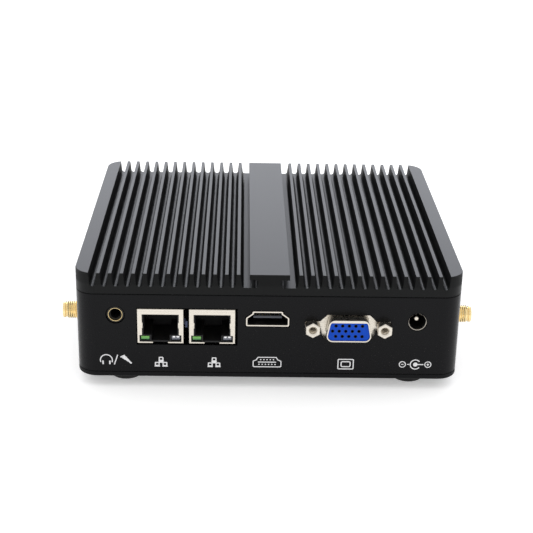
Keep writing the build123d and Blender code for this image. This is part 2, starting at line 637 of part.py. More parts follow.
with BuildPart() as dc_inlet_pin:
    bar_y(*DC_INLET, 1.05, (FRONT + 2.8, FRONT + 11.5))
    fillet(dc_inlet_pin.edges().group_by(Axis.Y)[0], 0.7)
finish(dc_inlet_pin.part, "dc_inlet_pin")

# ---------------------------------------------------------------- antenna connectors
for name, side in (("left", -1), ("right", 1)):

    def outward(near, far):
        return sorted((side * near, side * far))

    with BuildPart() as antenna_jack:
        # The barrel is a little thinner where the wall and the nut hold it.
        bar_x(ANTENNA_Y, ANTENNA_Z, BARREL_NECK_RADIUS, outward(INNER_SIDE, SIDE + NUT_THICKNESS))
        bar_x(ANTENNA_Y, ANTENNA_Z, THREAD_RADIUS, outward(SIDE + NUT_THICKNESS, ANTENNA_TIP))
        tip = antenna_jack.edges().sort_by(Axis.X)[-1 if side > 0 else 0]
        chamfer(tip, 0.5)
        with BuildSketch(Plane.YZ.offset(outward(INNER_SIDE - 2, INNER_SIDE)[0])) as flange_hex:
            with Locations((ANTENNA_Y, ANTENNA_Z)):
                RegularPolygon(4.0, 6, major_radius=False)
        extrude(flange_hex.sketch, amount=2)
        bar_x(ANTENNA_Y, ANTENNA_Z, 1.6, outward(INNER_SIDE - 7, INNER_SIDE - 2))
        bar_x(ANTENNA_Y, ANTENNA_Z, 2.3, outward(SIDE + 1, ANTENNA_TIP + 1), Mode.SUBTRACT)
    finish(antenna_jack.part, f"antenna_jack_{name}")

with BuildPart() as antenna_insulators:
    for side in (-1, 1):
        span = sorted((side * (SIDE + 1), side * (ANTENNA_TIP - 0.6)))
        bar_x(ANTENNA_Y, ANTENNA_Z, 2.3, span)
        bore = sorted((side * (SIDE + 3), side * (ANTENNA_TIP + 1)))
        bar_x(ANTENNA_Y, ANTENNA_Z, 0.5, bore, Mode.SUBTRACT)
finish(antenna_insulators.part, "antenna_insulators")

with BuildPart() as antenna_nuts:
    for side in (-1, 1):
        start = SIDE if side > 0 else -SIDE - NUT_THICKNESS
        with BuildSketch(Plane.YZ.offset(start)) as nut_outline:
            with Locations((ANTENNA_Y, ANTENNA_Z)):
                RegularPolygon(4.0, 6, major_radius=False)
                Circle(BARREL_NECK_RADIUS + 0.05, mode=Mode.SUBTRACT)
        extrude(nut_outline.sketch, amount=NUT_THICKNESS)
finish(antenna_nuts.part, "antenna_nuts")

# Each antenna lead runs from its jack, under the cards, to the near edge of the wireless card.
LEAD_RADIUS = 0.6
lead_end = {"left": (29.8, CARD_Y - 7.0, 25.0), "right": (29.8, CARD_Y + 5.0, 25.0)}
lead_points = {
    "left": [
        (-INNER_SIDE + 7, ANTENNA_Y, ANTENNA_Z),
        (-46, ANTENNA_Y, ANTENNA_Z),
        (-30, ANTENNA_Y + 6, ANTENNA_Z + 0.6),
        (-8, ANTENNA_Y + 9, ANTENNA_Z + 0.2),
        (12, ANTENNA_Y + 12, ANTENNA_Z + 1.4),
        (22, lead_end["left"][1] - 1.5, 23.6),
        lead_end["left"],
    ],
    "right": [
        (INNER_SIDE - 7, ANTENNA_Y, ANTENNA_Z),
        (46, ANTENNA_Y, ANTENNA_Z),
        (32, ANTENNA_Y + 5, ANTENNA_Z + 0.5),
        (22, ANTENNA_Y + 14, ANTENNA_Z + 2),
        (22.5, lead_end["right"][1] - 3, 23.6),
        lead_end["right"],
    ],
}
for name, points in lead_points.items():
    with BuildPart() as antenna_lead:
        with BuildLine() as route:
            lead_path(points)
        with BuildSketch(Plane(route.line @ 0, z_dir=route.line % 0)):
            Circle(LEAD_RADIUS)
        sweep(path=route.line)
    finish(antenna_lead.part, f"antenna_lead_{name}")

# ---------------------------------------------------------------- button panel
for name, x in USB.items():
    with BuildPart() as usb_shell:
        half = USB_WIDTH / 2
        usb_y = (BACK - 17.5, BACK + 0.1)
        block((x - half, x + half), usb_y, (BOARD_UNDER - USB_HEIGHT, BOARD_UNDER))
        for level in USB_LEVELS:
            mouth_x = (x - USB_MOUTH[0] / 2, x + USB_MOUTH[0] / 2)
            mouth_z = (level - USB_MOUTH[1] / 2, level + USB_MOUTH[1] / 2)
            block(mouth_x, (BACK - 15, BACK + 1), mouth_z, Mode.SUBTRACT)
    finish(usb_shell.part, f"usb_shell_{name}")

with BuildPart() as usb_tongues:
    for x in USB.values():
        for level in USB_LEVELS:
            block((x - 5.5, x + 5.5), (BACK - 12, BACK - 1.2), (level + 0.2, level + 2.0))
            block((x - 6.2, x + 6.2), (BACK - 15, BACK - 12), (level - 2.5, level + 2.5))
finish(usb_tongues.part, "usb_tongues")

switch_x, switch_z = POWER_SWITCH
BUTTON_RADIUS = 4.6
with BuildPart() as power_switch_body:
    bar_y(*POWER_SWITCH, 7.2, (BACK, BACK + BEZEL_OUT))
    chamfer(power_switch_body.edges().sort_by(Axis.Y)[-1], 0.6)
    bar_y(*POWER_SWITCH, 6.0, (BACK - 14, BACK))
    bar_y(*POWER_SWITCH, BUTTON_RADIUS + 0.15, (BACK - 9, BACK + 3), Mode.SUBTRACT)
finish(power_switch_body.part, "power_switch_body")

with BuildPart() as power_switch_nut:
    with BuildSketch(at_y(INNER_BACK)):
        with Locations(POWER_SWITCH):
            RegularPolygon(7.0, 6, major_radius=False)
            Circle(6.05, mode=Mode.SUBTRACT)
    extrude(amount=2.2)
finish(power_switch_nut.part, "power_switch_nut")

# The button is a cup with a stem; its spring sits round the stem.
BUTTON_FACE = BACK + BEZEL_OUT + BUTTON_OUT
with BuildPart() as power_button:
    bar_y(*POWER_SWITCH, BUTTON_RADIUS, (BACK - 3, BUTTON_FACE))
    fillet(power_button.edges().sort_by(Axis.Y)[-1], 0.4)
    bar_y(*POWER_SWITCH, 1.3, (BACK - 7.4, BACK - 3))
finish(power_button.part, "power_button")

SPRING_TURNS = 4
SPRING_LENGTH = 3.8
with BuildPart() as power_switch_spring:
    spring_start = Vector(switch_x, BACK - 8.7, switch_z)
    with BuildLine() as coil:
        Helix(
            pitch=SPRING_LENGTH / SPRING_TURNS, height=SPRING_LENGTH, radius=2.6,
            center=spring_start, direction=(0, 1, 0),
        )
    with BuildSketch(Plane(coil.line @ 0, z_dir=coil.line % 0)):
        Circle(0.22)
    sweep(path=coil.line, is_frenet=True)
finish(power_switch_spring.part, "power_switch_spring")

# Two leads drop from the switch and rise to the board's header.
with BuildPart() as power_switch_leads:
    for side in (-1, 1):
        x = switch_x + 2 * side
        with BuildLine() as route:
            lead_path(
                [
                    (x, BACK - 14, switch_z),
                    (x, BACK - 20, switch_z),
                    (x, BACK - 25, switch_z + 3.5),
                    (x, BACK - 25, BOARD_UNDER),
                ]
            )
        with BuildSketch(Plane(route.line @ 0, z_dir=route.line % 0)):
            Circle(0.6)
        sweep(path=route.line)
finish(power_switch_leads.part, "power_switch_leads")

# Each light pipe carries a lamp on the board to the panel.
with BuildPart() as status_light_pipes:
    for x, z in LIGHTS:
        bar_y(x, z, 1.0, (BACK - 10, BACK + 0.2))
        block((x - 1.5, x + 1.5), (BACK - 12, BACK - 9), (z - 1.5, BOARD_UNDER))
finish(status_light_pipes.part, "status_light_pipes")
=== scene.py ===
import json
from math import cos, pi, radians, sin

import bmesh
import bpy
from mathutils import Matrix, Quaternion, Vector


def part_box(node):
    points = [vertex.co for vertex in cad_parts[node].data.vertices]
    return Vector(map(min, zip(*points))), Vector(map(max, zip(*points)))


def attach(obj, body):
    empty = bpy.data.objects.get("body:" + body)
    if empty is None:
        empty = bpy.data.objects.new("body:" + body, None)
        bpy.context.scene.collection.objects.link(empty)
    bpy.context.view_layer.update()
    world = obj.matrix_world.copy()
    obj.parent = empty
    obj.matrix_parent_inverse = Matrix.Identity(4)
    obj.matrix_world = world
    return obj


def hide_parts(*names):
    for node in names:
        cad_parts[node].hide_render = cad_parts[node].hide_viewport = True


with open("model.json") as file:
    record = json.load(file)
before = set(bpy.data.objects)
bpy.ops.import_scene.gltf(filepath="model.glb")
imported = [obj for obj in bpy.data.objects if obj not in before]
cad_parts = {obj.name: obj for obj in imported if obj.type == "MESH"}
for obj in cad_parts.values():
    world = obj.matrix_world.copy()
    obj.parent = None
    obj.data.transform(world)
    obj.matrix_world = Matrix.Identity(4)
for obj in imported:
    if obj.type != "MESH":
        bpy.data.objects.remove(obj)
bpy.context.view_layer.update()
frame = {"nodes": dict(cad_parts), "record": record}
nodes = frame["nodes"]
MM = 0.001
print("CAD nodes", len(nodes))

# %% [markdown]
# Every place below is read from the CAD parts' own boxes, so the added pieces fit without any
# measuring by eye. The panel with the network sockets faces -Y, and the button panel faces +Y.
# %% Read the main places


def centre_of(node):
    """The middle of a CAD node's box, in millimetres."""
    low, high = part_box(node)
    return (low + high) / 2 / MM


case_low, case_high = (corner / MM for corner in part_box("case_frame"))
FRONT = case_low.y
BACK = case_high.y
SIDE = case_high.x
print("case", round(2 * SIDE, 2), "mm wide and", round(BACK - FRONT, 2), "mm deep")

# %% [markdown]
# The camera looks down at the connector panel from a little to its left. A long lens keeps the
# case's sides nearly parallel, as in a catalogue picture. The look direction is built from a turn
# and a tilt, and a small roll is added last, about the camera's own axis.
# %% Camera
CAMERA_PLACE = Vector((-0.0104, -0.4663, 0.2117))
CAMERA_TILT = 0.38815
CAMERA_TURN = 0.02257
CAMERA_ROLL = 0.02062
CAMERA_LENS = 86.19

forward = cos(CAMERA_TILT)
look = Vector((sin(CAMERA_TURN) * forward, cos(CAMERA_TURN) * forward, -sin(CAMERA_TILT)))
camera_data = bpy.data.cameras.new("camera")
camera_data.lens = CAMERA_LENS
camera_data.sensor_width = 36
camera_data.clip_start = 0.01
camera = bpy.data.objects.new("camera", camera_data)
camera.rotation_mode = "QUATERNION"
camera.rotation_quaternion = look.to_track_quat("-Z", "Y") @ Quaternion((0, 0, 1), CAMERA_ROLL)
camera.location = CAMERA_PLACE
scene = bpy.context.scene
scene.collection.objects.link(camera)
scene.camera = camera
scene.view_settings.view_transform = "Standard"
print("camera", round(CAMERA_PLACE.length, 3), "m away, with a lens of", CAMERA_LENS, "mm")

# %% [markdown]
# A finish starts with its colour. The colour is written as a hex value, as a paint chart gives
# it, and one function turns it to the linear light that the renderer adds up.
# %% Colour


def linear(hex_colour):
    """An sRGB hex colour as linear RGBA."""
    channels = [int(hex_colour[i : i + 2], 16) / 255 for i in (1, 3, 5)]
    return [c / 12.92 if c <= 0.04045 else ((c + 0.055) / 1.055) ** 2.4 for c in channels] + [1]


print("half of white is", round(linear("#808080")[0], 3), "in linear light")

# %% [markdown]
# Every finish is a few shader nodes. One function adds a node, sets it, and links it, so that a
# finish reads from top to bottom: where a point is, which pattern it falls in, and what that does.
# %% Add a node


def add(material, kind, inputs, **settings):
    """Add a shader node. An input is a number, a colour, or the output of an earlier node."""
    node = material.node_tree.nodes.new("ShaderNode" + kind)
    for name, value in settings.items():
        setattr(node, name, value)
    for key, value in inputs.items():
        if isinstance(value, bpy.types.NodeSocket):
            material.node_tree.links.new(value, node.inputs[key])
        else:
            node.inputs[key].default_value = value
    return node.outputs


# %% [markdown]
# A surface is one Principled shader. Its constant values are set on the shader's own sockets, and
# only its colour, its roughness and its normal are ever driven by a pattern.
# %% Start a surface


def surface(name, colour, roughness, **sockets):
    """A material with one Principled shader and constant values on its sockets."""
    material = bpy.data.materials.new(name)
    material.use_nodes = True
    shader = material.node_tree.nodes["Principled BSDF"]
    shader.inputs["Base Color"].default_value = linear(colour)
    shader.inputs["Roughness"].default_value = roughness
    for key, value in sockets.items():
        shader.inputs[key.replace("_", " ")].default_value = value
    return material


def feed(material, socket, output):
    """Link a pattern to one socket of the material's shader."""
    shader = material.node_tree.nodes["Principled BSDF"]
    material.node_tree.links.new(output, shader.inputs[socket])


# %% [markdown]
# Most finishes share one recipe. A noise whose grains have a real size in millimetres drives a
# shallow bump, a small change of roughness and a small change of colour. Stretching the noise
# along one axis turns the grains to drawing or extrusion lines. Grains under a third of a
# millimetre would be finer than one dot of the picture, so they are drawn a little coarser.
# %% The grain recipe


def grained(material, grain_mm, depth_mm, colours=None, rough=None, stretch=(1, 1, 1)):
    """Give a material grains of one size, with a bump, and colours and roughness that follow it."""
    place = add(material, "TexCoord", {})["Object"]
    scale = [1 / (MM * grain_mm * s) for s in stretch]
    grid = add(material, "Mapping", {"Vector": place, "Scale": scale})[0]
    pattern = {"Vector": grid, "Scale": 1, "Detail": 3, "Roughness": 0.6}
    noise = add(material, "TexNoise", pattern)[0]
    bump = add(material, "Bump", {"Height": noise, "Distance": depth_mm * MM, "Strength": 1})
    feed(material, "Normal", bump[0])
    if colours:
        mixed = {"Factor": noise, "A": linear(colours[0]), "B": linear(colours[1])}
        feed(material, "Base Color", add(material, "Mix", mixed, data_type="RGBA")["Result"])
    if rough:
        spread = {"Value": noise, "From Min": 0.3, "From Max": 0.7}
        spread.update({"To Min": rough[0], "To Max": rough[1]})
        feed(material, "Roughness", add(material, "MapRange", spread)[0])
    print(material.name, "with grains of", grain_mm, "mm")
    return material


# %% [markdown]
# The lid is extruded aluminium, bead blasted and then anodised black. The porous, dyed oxide takes
# light in, so it reflects less than a solid plastic would, and its IOR is set low. The extrusion
# die leaves faint lines along the fins, and the blasting leaves a fine grain across them. The
# walls of the fins keep a rough oxide, while their tops and the groove floors are smoother, so the
# roughness follows the height.
# %% Anodised aluminium
anodised_black = grained(
    surface("black_anodised_aluminium", "#090A0B", 0.34, IOR=1.25),
    grain_mm=0.45,
    depth_mm=0.004,
    colours=("#040505", "#090A0B"),
    stretch=(1, 9, 1),
)
FLOOR_ROUGH, WALL_ROUGH, TOP_ROUGH = 0.38, 0.6, 0.33
FLOOR_TO_WALL = (38.9, 39.5)
WALL_TO_TOP = (42.9, 43.25)
fin_place = add(anodised_black, "TexCoord", {})["Object"]
fin_height = add(anodised_black, "SeparateXYZ", {0: fin_place})["Z"]
ramps = []
for heights, start, end in (
    (FLOOR_TO_WALL, FLOOR_ROUGH, WALL_ROUGH),
    (WALL_TO_TOP, WALL_ROUGH, TOP_ROUGH),
):
    reach = {"Value": fin_height, "From Min": heights[0] * MM, "From Max": heights[1] * MM}
    reach.update({"To Min": start, "To Max": end})
    ramps.append(add(anodised_black, "MapRange", reach)[0])
smaller = add(anodised_black, "Math", {0: ramps[0], 1: ramps[1]}, operation="MINIMUM")[0]
feed(anodised_black, "Roughness", smaller)


# %% [markdown]
# The wall ring and the bottom plate have a fine black coating over the same metal, with an even
# grain in every direction. The ring's coating is smooth enough for its round corners to catch a
# pale rim of light at a grazing angle, and the plate's is duller.
# %% Coated aluminium
coated_case = grained(
    surface("black_coated_aluminium", "#08080A", 0.42, IOR=1.22),
    grain_mm=0.5,
    depth_mm=0.004,
    colours=("#060608", "#0C0C0E"),
    rough=(0.2, 0.34),
)
coated_plate = grained(
    surface("black_coated_plate", "#08080A", 0.5, IOR=1.22),
    grain_mm=0.6,
    depth_mm=0.006,
    colours=("#060608", "#0C0C0E"),
    rough=(0.42, 0.58),
)

# %% [markdown]
# The sockets' shells are steel plated with nickel and tin. They are bright and slightly warm, with
# fine drawing lines, so they show as cream rims against the black case.
# %% Plated metals
nickel_shell = grained(
    surface("bright_nickel_plate", "#D6CFC4", 0.28, Metallic=1),
    grain_mm=0.5,
    depth_mm=0.003,
    colours=("#CFC8BB", "#DDD7CD"),
    rough=(0.2, 0.36),
    stretch=(5, 1, 1),
)
steel_screw = grained(
    surface("zinc_plated_steel", "#C9CBCD", 0.32, Metallic=1), 0.5, 0.004, rough=(0.25, 0.4)
)
spring_steel = grained(
    surface("spring_steel", "#C4C2BC", 0.25, Metallic=1),
    grain_mm=0.4,
    depth_mm=0.002,
    rough=(0.2, 0.32),
    stretch=(1, 6, 1),
)
can_metal = grained(
    surface("drawn_aluminium_can", "#CDCFD2", 0.3, Metallic=1), 0.6, 0.004, rough=(0.24, 0.4)
)
gold_plate = grained(
    surface("gold_plated_brass", "#EED69E", 0.2, Metallic=1),
    grain_mm=0.5,
    depth_mm=0.003,
    colours=("#E9CE92", "#F3DEAC"),
    rough=(0.18, 0.32),
)
brass_part = grained(
    surface("turned_brass", "#D6B25E", 0.3, Metallic=1), 0.4, 0.003, rough=(0.24, 0.38)
)
black_screw = grained(
    surface("black_oxide_steel", "#2A2B2D", 0.4, Metallic=1), 0.4, 0.004, rough=(0.34, 0.5)
)
button_metal = grained(
    surface("black_plated_brass", "#2E2F33", 0.3, Metallic=1), 0.4, 0.003, rough=(0.24, 0.38)
)

# %% [markdown]
# The plastics are moulded. The socket blocks are a dull glass-filled black, the video socket's
# insulator is the deep blue that marks it, and the antenna insulators are white fluoropolymer.
# %% Moulded plastics
socket_plastic = grained(
    surface("black_glass_filled_nylon", "#0B0B0C", 0.55, IOR=1.4), 0.5, 0.01, rough=(0.5, 0.65)
)
usb_plastic = grained(
    surface("black_liquid_crystal_polymer", "#101012", 0.4, IOR=1.5), 0.5, 0.006, rough=(0.35, 0.5)
)
video_blue = grained(
    surface("blue_moulded_pbt", "#0842AE", 0.5, IOR=1.22),
    grain_mm=0.5,
    depth_mm=0.006,
    colours=("#063CA2", "#0C48BA"),
    rough=(0.4, 0.55),
)
white_insulator = grained(
    surface("white_fluoropolymer", "#EDEBE4", 0.45, IOR=1.38), 0.5, 0.004, rough=(0.4, 0.5)
)
lead_sheath = grained(
    surface("black_fluoropolymer_sheath", "#17181A", 0.35, IOR=1.38), 0.5, 0.006, rough=(0.3, 0.45)
)
foot_rubber = grained(
    surface("black_rubber", "#0C0C0D", 0.8, IOR=1.5), 0.6, 0.02, rough=(0.72, 0.9)
)
thermal_pad = grained(
    surface("grey_silicone_pad", "#8C96A3", 0.7, IOR=1.41), 0.6, 0.02, ("#848E9B", "#97A1AD")
)
chip_black = grained(
    surface("moulded_epoxy", "#1B1C1D", 0.55, IOR=1.55),
    grain_mm=0.5,
    depth_mm=0.012,
    colours=("#171819", "#222324"),
    rough=(0.5, 0.65),
)
ferrite = grained(
    surface("pressed_ferrite", "#3A3B3D", 0.7, IOR=1.6),
    grain_mm=0.5,
    depth_mm=0.02,
    colours=("#323335", "#434447"),
    rough=(0.6, 0.8),
)
print("plain finishes", len(bpy.data.materials))

# %% [markdown]
# The boards are glass cloth under a green solder mask. Copper tracks lie under the mask as thin
# raised lines, which a brick pattern laid on the board draws: long thin bricks are the gaps
# between tracks, and their mortar is the tracks.
# %% Circuit boards
TRACK_WIDTH = 0.2
TRACK_GAP = 1.4
TRACK_LENGTH = 11
circuit_board = surface("green_solder_mask", "#0F5A32", 0.3, IOR=1.52)
bricks = {
    "Vector": add(circuit_board, "TexCoord", {})["Object"],
    "Color1": linear("#0D5230"),
    "Color2": linear("#0F5E36"),
    "Mortar": linear("#2A8A55"),
    "Scale": 1,
    "Mortar Size": TRACK_WIDTH * MM,
    "Brick Width": TRACK_LENGTH * MM,
    "Row Height": TRACK_GAP * MM,
}
board_tracks = add(circuit_board, "TexBrick", bricks)
feed(circuit_board, "Base Color", board_tracks["Color"])
track_bump = add(circuit_board, "Bump", {"Height": board_tracks["Fac"], "Distance": 0.03 * MM})
feed(circuit_board, "Normal", track_bump[0])
print(circuit_board.name, "with a track every", TRACK_GAP, "mm")

# %% [markdown]
# Each network socket has a light in each lower corner. Its lens is clear plastic over a small
# lamp. Its colour is painted light and shade: pale at the top, where it is lit, and deep at the
# bottom, where it is in shade. The height of the point mixes the two.
# %% Light lenses


def lens(name, deep, pale, node):
    """Clear moulded plastic with painted shade at its deep foot and painted light at its pale top.
    """
    material = surface(name, pale, 0.18, IOR=1.49)
    place = add(material, "TexCoord", {})["Object"]
    height = add(material, "SeparateXYZ", {0: place})["Z"]
    low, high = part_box(node)
    # The colour rises from painted shade at the foot to painted light at the top.
    painted_light_rise = add(material, "MapRange", {"Value": height, "From Min": low.z, "From Max": high.z})[0]
    mixed = {"Factor": painted_light_rise, "A": linear(deep), "B": linear(pale)}
    feed(material, "Base Color", add(material, "Mix", mixed, data_type="RGBA")["Result"])
    print(name, "is", round((high.z - low.z) / MM, 1), "mm tall")
    return material


lens_green = lens("green_acrylic_lens_painted_light", "#1B5242", "#7CC257", "lan_green_lenses")
lens_clear = lens("clear_acrylic_lens_painted_light", "#3A404C", "#85868C", "lan_clear_lenses")

# %% [markdown]
# The record says which finish each CAD part takes. A dictionary from slot to material dresses all
# sixty parts in one loop, and the new pieces below look their finish up in it too.
# %% Dress the CAD parts
finishes = {
    "anodised_black": anodised_black,
    "coated_case": coated_case,
    "coated_plate": coated_plate,
    "foot_rubber": foot_rubber,
    "black_screw": black_screw,
    "steel_screw": steel_screw,
    "brass_part": brass_part,
    "circuit_board": circuit_board,
    "chip_black": chip_black,
    "thermal_pad": thermal_pad,
    "ferrite": ferrite,
    "can_metal": can_metal,
    "socket_plastic": socket_plastic,
    "spring_steel": spring_steel,
    "nickel_shell": nickel_shell,
    "gold_plate": gold_plate,
    "white_insulator": white_insulator,
    "video_blue": video_blue,
    "lens_green": lens_green,
    "lens_clear": lens_clear,
    "lead_sheath": lead_sheath,
    "usb_plastic": usb_plastic,
    "button_metal": button_metal,
}
for part in frame["record"]["subparts"]:
    cad_node = nodes[part["node"]]
    cad_node.data.materials.clear()
    cad_node.data.materials.append(finishes[part["material_slot"]])

# %% [markdown]
# Each new piece ends the same way. Its bmesh becomes an object at the origin, it takes its finish,
# it rides on its CAD body, and it may hide the CAD part that it stands for. Weighted normals keep
# large flat faces flat to the eye while the small rounds beside them stay smooth.
# %% Finish a piece
SMOOTH_ANGLE = radians(50)


def settle(shape, name, slot, body="case", replaces=(), material=None):
    """Turn a bmesh to a finished object that rides on a CAD body."""
    mesh = bpy.data.meshes.new(name)
    shape.to_mesh(mesh)
    shape.free()
    mesh.shade_smooth()
    mesh.set_sharp_from_angle(angle=SMOOTH_ANGLE)
    mesh.materials.append(material or finishes[slot])
    piece = bpy.data.objects.new(name, mesh)
    scene.collection.objects.link(piece)
    weighted = piece.modifiers.new("flat_faces", "WEIGHTED_NORMAL")
    weighted.keep_sharp = True
    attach(piece, body)
    if replaces:
        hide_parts(*replaces)
    print(name, len(mesh.polygons), "faces")
    return piece


# %% [markdown]
# A real edge is never perfectly sharp: coating and tumbling round it, and the round catches light.
# A copy of the CAD mesh is merged, its flat faces are joined, and its sharp edges are bevelled.
# %% Soften a CAD part


MERGE_MM = 0.002
FLAT_ANGLE = radians(0.5)
SHARP_ANGLE = radians(28)


def softened(node, width_mm, segments=2):
    """A bmesh copy of a CAD node with its sharp edges rounded."""
    shape = bmesh.new()
    shape.from_mesh(nodes[node].data)
    bmesh.ops.remove_doubles(shape, verts=shape.verts, dist=MERGE_MM * MM)
    bmesh.ops.dissolve_limit(
        shape, angle_limit=FLAT_ANGLE, verts=shape.verts, edges=shape.edges, delimit={"NORMAL"}
    )
    sharp = [e for e in shape.edges if e.is_manifold and e.calc_face_angle() > SHARP_ANGLE]
    bmesh.ops.bevel(
        shape,
        geom=sharp,
        offset=width_mm * MM,
        offset_type="OFFSET",
        affect="EDGES",
        segments=segments,
        profile=0.5,
        material=-1,
        clamp_overlap=True,
    )
    return shape


EDGE_ROUNDS = {
    "heatsink_lid": 0.07,
    "case_frame": 0.18,
    "bottom_plate": 0.12,
    "video_shell": 0.16,
    "digital_video_shell": 0.12,
    "video_jack_screws": 0.14,
    "antenna_nuts": 0.25,
    "power_switch_body": 0.12,
    "power_switch_nut": 0.2,
    "usb_shell_left": 0.12,
    "usb_shell_right": 0.12,
}
slot_of = {part["node"]: part["material_slot"] for part in frame["record"]["subparts"]}
for node, width in EDGE_ROUNDS.items():
    settle(softened(node, width), node + "_softened", slot_of[node], replaces=[node])

# %% [markdown]
# Round parts are turned on a lathe, and bmesh does the same: an outline of distances along the axis
# and radii is spun a full turn. Threads are a small triangle that is spun many turns while it moves
# one pitch along the axis each turn, as a cutting tool does.
# %% Lathe and thread
THREAD_STEPS = 24
THREAD_FOOT = 0.92
TURNING_MERGE_MM = 0.001


def lathe(shape, outline, centre, axis, closed=False, steps=64, outward=(0, 0, 1)):
    """Spin (distance along the axis, radius) points, in millimetres, to a solid of revolution."""
    along, out = Vector(axis), Vector(outward)
    places = [(Vector(centre) + along * a + out * r) * MM for a, r in outline]
    corners = [shape.verts.new(place) for place in places]
    pairs = list(zip(corners, corners[1:]))
    if closed:
        pairs.append((corners[-1], corners[0]))
    edges = [shape.edges.new(pair) for pair in pairs]
    bmesh.ops.spin(
        shape,
        geom=corners + edges,
        cent=Vector(centre) * MM,
        axis=along,
        angle=2 * pi,
        steps=steps,
        use_merge=True,
    )
    bmesh.ops.remove_doubles(shape, verts=shape.verts, dist=TURNING_MERGE_MM * MM)
    bmesh.ops.recalc_face_normals(shape, faces=shape.faces)


def thread(shape, centre, axis, start, length, root, crest, pitch):
    """Wind a V thread from root to crest radius round an axis, in millimetres."""
    along, out = Vector(axis), Vector((0, 0, 1))
    section = [(start, root), (start + THREAD_FOOT * pitch, root), (start + pitch / 2, crest)]
    places = [(Vector(centre) + along * a + out * r) * MM for a, r in section]
    face = shape.faces.new([shape.verts.new(place) for place in places])
    steps = round(THREAD_STEPS * length / pitch)
    bmesh.ops.spin(
        shape,
        geom=[*face.verts, *face.edges, face],
        cent=Vector(centre) * MM,
        axis=along,
        dvec=along * pitch * MM / THREAD_STEPS,
        angle=2 * pi * steps / THREAD_STEPS,
        steps=steps,
    )
    bmesh.ops.recalc_face_normals(shape, faces=shape.faces)


def bar(shape, x, y, z, round_mm=0):
    """Add a box from its spans in millimetres, with rounded edges."""
    low, high = Vector((x[0], y[0], z[0])), Vector((x[1], y[1], z[1]))
    place = Matrix.Translation((low + high) / 2 * MM) @ Matrix.Diagonal(((high - low) * MM).to_4d())
    made = bmesh.ops.create_cube(shape, size=1, matrix=place)
    edges = {edge for corner in made["verts"] for edge in corner.link_edges}
    if round_mm:
        bmesh.ops.bevel(
            shape,
            geom=list(edges),
            offset=round_mm * MM,
            affect="EDGES",
            segments=2,
            profile=0.5,
            material=-1,
        )


# %% [markdown]
# Each network shield is a folded steel can. Its front shows a fold line along the top rim, and two
# springs at its sides that press on the plug and show as small bumps. The bumps and the fold are
# added to the softened CAD shape, so each socket stays one piece. The earthing tab in the gap
# between them is cut off that shape and made again as a hooked strip of steel, whose dark blue
# grey colour is painted shade for the deep gap it sits in.
# %% Network sockets
# The tab's dark blue grey steel is painted shade.
shaded_strip_steel = grained(
    surface("spring_steel_painted_shade", "#565E78", 0.5, Metallic=1), 0.6, 0.004, rough=(0.4, 0.6)
)
CAN_ROUND = 0.1
BUMP_ROUND = 0.3
TAB_HEIGHT = (21.7, 24.2)
for side in ("left", "right"):
    node = "lan_shield_" + side
    low, high = (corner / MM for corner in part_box(node))
    middle_x = centre_of("lan_insert_" + side).x
    half = middle_x - low.x
    wall_x = middle_x + half
    can = softened(node, CAN_ROUND)
    outside = (wall_x + 0.15) * MM
    bmesh.ops.delete(can, geom=[v for v in can.verts if v.co.x > outside], context="VERTS")
    bmesh.ops.holes_fill(can, edges=[edge for edge in can.edges if edge.is_boundary])
    fold_x = (middle_x - half + 0.1, wall_x - 0.1)
    fold_z = (high.z - 1.0, high.z - 0.08)
    bar(can, fold_x, (low.y - 0.12, low.y + 0.3), fold_z, CAN_ROUND)
    bump_z = (high.z - 7.5, high.z - 5.1)
    for way in (-1, 1):
        bump_x = sorted((middle_x + way * (half - 1.9), middle_x + way * (half - 1.0)))
        bar(can, bump_x, (low.y - 0.05, low.y + 2.4), bump_z, BUMP_ROUND)
    settle(can, "network_can_" + side, "nickel_shell", replaces=[node])
    if side == "left":
        tab = bmesh.new()
        hook_x, foot_x = (wall_x + 0.45, wall_x + 1.3), (wall_x - 0.05, wall_x + 1.3)
        bar(tab, hook_x, (FRONT + 3.5, FRONT + 6), TAB_HEIGHT, CAN_ROUND)
        bar(tab, foot_x, (FRONT + 5.8, FRONT + 7), TAB_HEIGHT, CAN_ROUND)
        settle(tab, "network_earthing_tab", "nickel_shell", material=shaded_strip_steel)

# %% [markdown]
# Behind each clear lens sit two small lamp chips, which show as two white dots. A dome is an
# icosphere pressed flat, so it catches one soft highlight.
# %% Lamp chips
lamp_white = surface("white_lamp_resin", "#FFFFFF", 0.3, IOR=1.5)
lens_low, lens_high = (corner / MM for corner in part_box("lan_clear_lenses"))
LENS_WIDTH = 2.9
CHIP_APART = 1.4
CHIP_RADII = (0.55, 0.25, 0.5)
chips = bmesh.new()
for lens_x in (lens_low.x + LENS_WIDTH / 2, lens_high.x - LENS_WIDTH / 2):
    for way in (-1, 1):
        chip_x = lens_x + way * CHIP_APART / 2
        place = Vector((chip_x, lens_low.y + 0.1, lens_high.z - 0.15)) * MM
        dome = Matrix.Translation(place) @ Matrix.Diagonal((*CHIP_RADII, 1))
        bmesh.ops.create_icosphere(chips, subdivisions=2, radius=MM, matrix=dome)
settle(chips, "network_lamp_chips", "lens_clear", material=lamp_white)

# %% [markdown]
# The analogue video socket has fifteen contacts in three rows. A black sleeve lines each hole, and
# its lip makes a dark ring at the mouth: painted shade for the hole. One outline is turned fifteen
# times, and a rounded bar thickens the shell's top edge, where the steel is folded over.
# %% Video socket painted hole shade and lip
video_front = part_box("video_insulator")[0].y / MM
video_middle = centre_of("video_shell")
VIDEO_PITCH = 2.29
VIDEO_ROW = 1.98
VIDEO_Z = centre_of("video_jack_screws").z
INWARD = (0, 1, 0)
